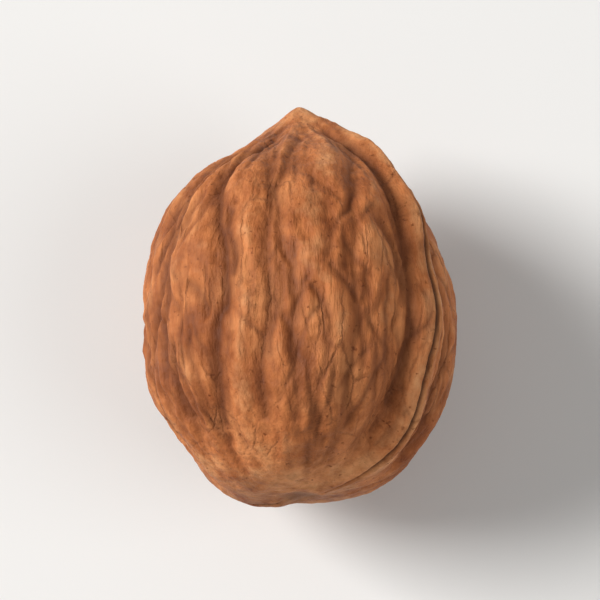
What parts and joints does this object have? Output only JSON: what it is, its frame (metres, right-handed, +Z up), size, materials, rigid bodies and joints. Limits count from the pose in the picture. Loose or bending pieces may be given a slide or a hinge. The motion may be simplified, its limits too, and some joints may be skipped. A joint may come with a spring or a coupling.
{
  "type": "walnut",
  "caption": "Whole walnut in its shell: an egg-shaped, furrowed nut with a raised seam running right round it and a pointed tip, lying on its side on a small flat spot.",
  "frame": {"origin": "on the surface that the nut rests on, below the middle of its box", "axes": "+Y along the nut towards its pointed tip, +Z up, with the seam raised on the +X side"},
  "size_m": [0.0318, 0.0412, 0.0311],
  "materials": {
    "shell": "dry, matt tan-brown nut shell with darker furrows"
  },
  "bodies": {
    "root": {"walnut": "shell"}
  },
  "joints": []
}
